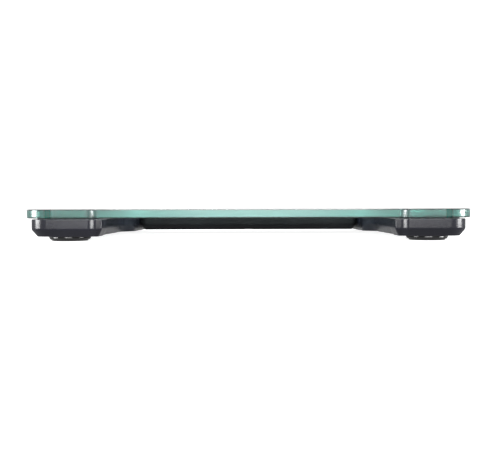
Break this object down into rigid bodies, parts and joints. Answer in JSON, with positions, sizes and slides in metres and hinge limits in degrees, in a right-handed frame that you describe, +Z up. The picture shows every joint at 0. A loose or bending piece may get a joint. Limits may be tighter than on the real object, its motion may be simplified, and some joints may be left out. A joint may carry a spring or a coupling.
{
  "type": "digital bathroom scale",
  "caption": "Low square bathroom scale: a thick clear glass platform on a black H-shaped base with a load cell and round foot at each corner and a display under the glass.",
  "frame": {"origin": "on the floor, under the middle of the platform", "axes": "+Z up; -Y is the front edge, seen in the picture; +X to the viewer's right"},
  "size_m": [0.3, 0.3, 0.0215],
  "materials": {
    "glass": "clear tempered float glass, polished, green at its edges",
    "bond_foam": "matte black adhesive foam",
    "side_shell": "satin charcoal ABS with a fine moulded grain",
    "center_shell": "black ABS with a fine moulded grain",
    "display_window": "smoked acrylic window",
    "lcd": "liquid crystal cell",
    "light_guide": "milky light guide",
    "led_package": "white LED package",
    "zebra_rubber": "layered contact rubber",
    "circuit_board": "green solder mask over glass-fibre board",
    "epoxy": "black potting epoxy",
    "switch_housing": "black switch body",
    "unit_button": "grey moulded button",
    "coin_cell_steel": "nickel-plated steel can",
    "contact_metal": "plated spring brass",
    "lead_red": "red PVC insulation",
    "lead_black": "black PVC insulation",
    "lead_ribbon": "flat three-core PVC lead",
    "screw_steel": "zinc-plated steel",
    "foot_plastic": "polished black ABS",
    "pad_rubber": "matte black rubber",
    "cell_steel": "stamped alloy steel",
    "gauge_seal": "white silicone seal"
  },
  "bodies": {
    "base": {"glass_platform": "glass", "bond_center": "bond_foam", "bond_left": "bond_foam", "bond_right": "bond_foam", "center_housing": "center_shell", "center_cover": "center_shell", "side_housing_left": "side_shell", "side_housing_right": "side_shell", "side_cover_left": "side_shell", "side_cover_right": "side_shell", "display_window": "display_window", "lcd_panel": "lcd", "light_guide": "light_guide", "backlight_led_bar": "led_package", "contact_strip_front": "zebra_rubber", "contact_strip_back": "zebra_rubber", "main_board": "circuit_board", "controller_chip": "epoxy", "tact_switch": "switch_housing", "coin_cell": "coin_cell_steel", "battery_contact_positive": "contact_metal", "battery_contact_negative": "contact_metal", "battery_lead_positive": "lead_red", "battery_lead_negative": "lead_black", "center_screw_1": "screw_steel", "center_screw_2": "screw_steel", "center_screw_3": "screw_steel", "center_screw_4": "screw_steel", "board_screw_1": "screw_steel", "board_screw_2": "screw_steel", "side_screw_left_1": "screw_steel", "side_screw_left_2": "screw_steel", "side_screw_left_3": "screw_steel", "load_cell_front_left": "cell_steel", "gauge_seal_front_left": "gauge_seal", "cell_lead_front_left": "lead_ribbon", "load_cell_back_left": "cell_steel", "gauge_seal_back_left": "gauge_seal", "cell_lead_back_left": "lead_ribbon", "side_screw_right_1": "screw_steel", "side_screw_right_2": "screw_steel", "side_screw_right_3": "screw_steel", "load_cell_front_right": "cell_steel", "gauge_seal_front_right": "gauge_seal", "cell_lead_front_right": "lead_ribbon", "load_cell_back_right": "cell_steel", "gauge_seal_back_right": "gauge_seal", "cell_lead_back_right": "lead_ribbon"},
    "foot_front_left": {"foot_body_front_left": "foot_plastic", "foot_pad_front_left": "pad_rubber"},
    "foot_back_left": {"foot_body_back_left": "foot_plastic", "foot_pad_back_left": "pad_rubber"},
    "foot_front_right": {"foot_body_front_right": "foot_plastic", "foot_pad_front_right": "pad_rubber"},
    "foot_back_right": {"foot_body_back_right": "foot_plastic", "foot_pad_back_right": "pad_rubber"},
    "door": {"battery_door": "center_shell"},
    "button": {"unit_button": "unit_button"}
  },
  "joints": [
    {"name": "foot_float_front_left", "type": "slide", "parent": "base", "child": "foot_front_left", "axis": [0, 0, 1], "range_m": [-0.0003, 0]},
    {"name": "foot_float_back_left", "type": "slide", "parent": "base", "child": "foot_back_left", "axis": [0, 0, 1], "range_m": [-0.0003, 0]},
    {"name": "foot_float_front_right", "type": "slide", "parent": "base", "child": "foot_front_right", "axis": [0, 0, 1], "range_m": [-0.0003, 0]},
    {"name": "foot_float_back_right", "type": "slide", "parent": "base", "child": "foot_back_right", "axis": [0, 0, 1], "range_m": [-0.0003, 0]},
    {"name": "door_hinge", "type": "hinge", "parent": "base", "child": "door", "pos_m": [0, 0.0512, 0.0046], "axis": [1, 0, 0], "range_deg": [0, 90]},
    {"name": "button_press", "type": "slide", "parent": "base", "child": "button", "axis": [0, 0, 1], "range_m": [0, 0.0005], "stiffness_N_per_m": 2000}
  ]
}
